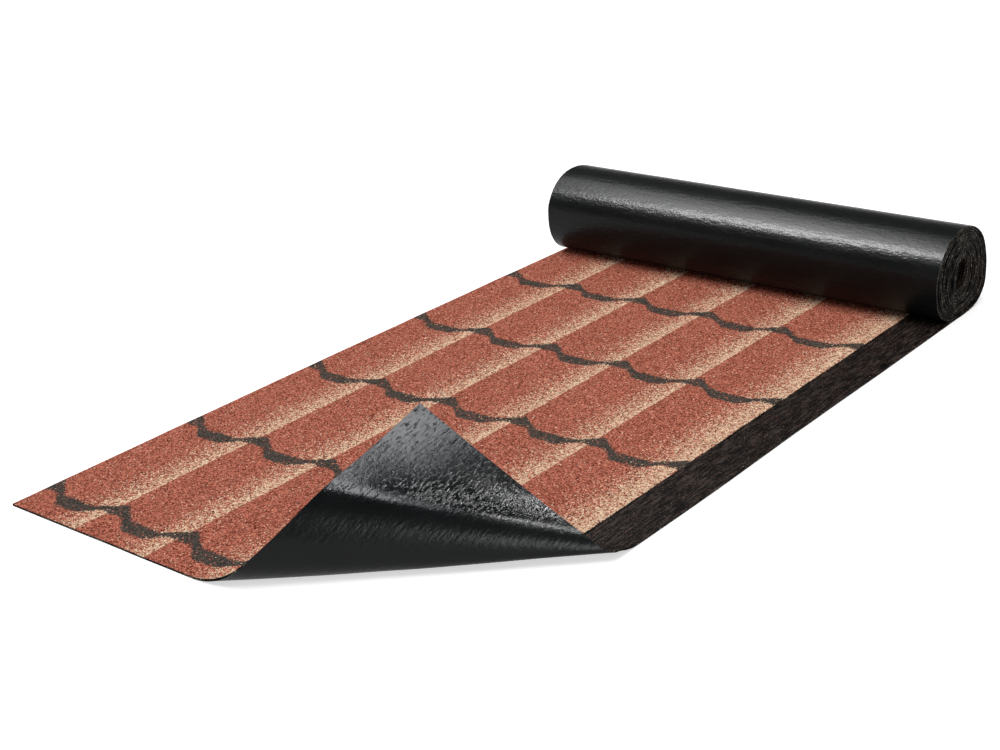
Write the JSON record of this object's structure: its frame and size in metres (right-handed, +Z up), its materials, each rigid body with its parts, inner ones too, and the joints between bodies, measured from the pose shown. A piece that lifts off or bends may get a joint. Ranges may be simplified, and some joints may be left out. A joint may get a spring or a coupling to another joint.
{
  "type": "roll of roofing felt",
  "caption": "Roll of mineral-faced roofing felt, partly laid out on the floor, with one front corner turned up and back.",
  "frame": {"origin": "middle of the part's outline, on the floor it lies on", "axes": "+X across the felt, from its plain edge to its bare side lap; +Y along the laid felt, from the front edge to the roll; +Z up"},
  "size_m": [1, 1.8452, 0.2153],
  "materials": {
    "felt": "bitumen felt, glossy film below, mineral granules above"
  },
  "bodies": {
    "root": {"roofing_felt": "felt"}
  },
  "joints": []
}
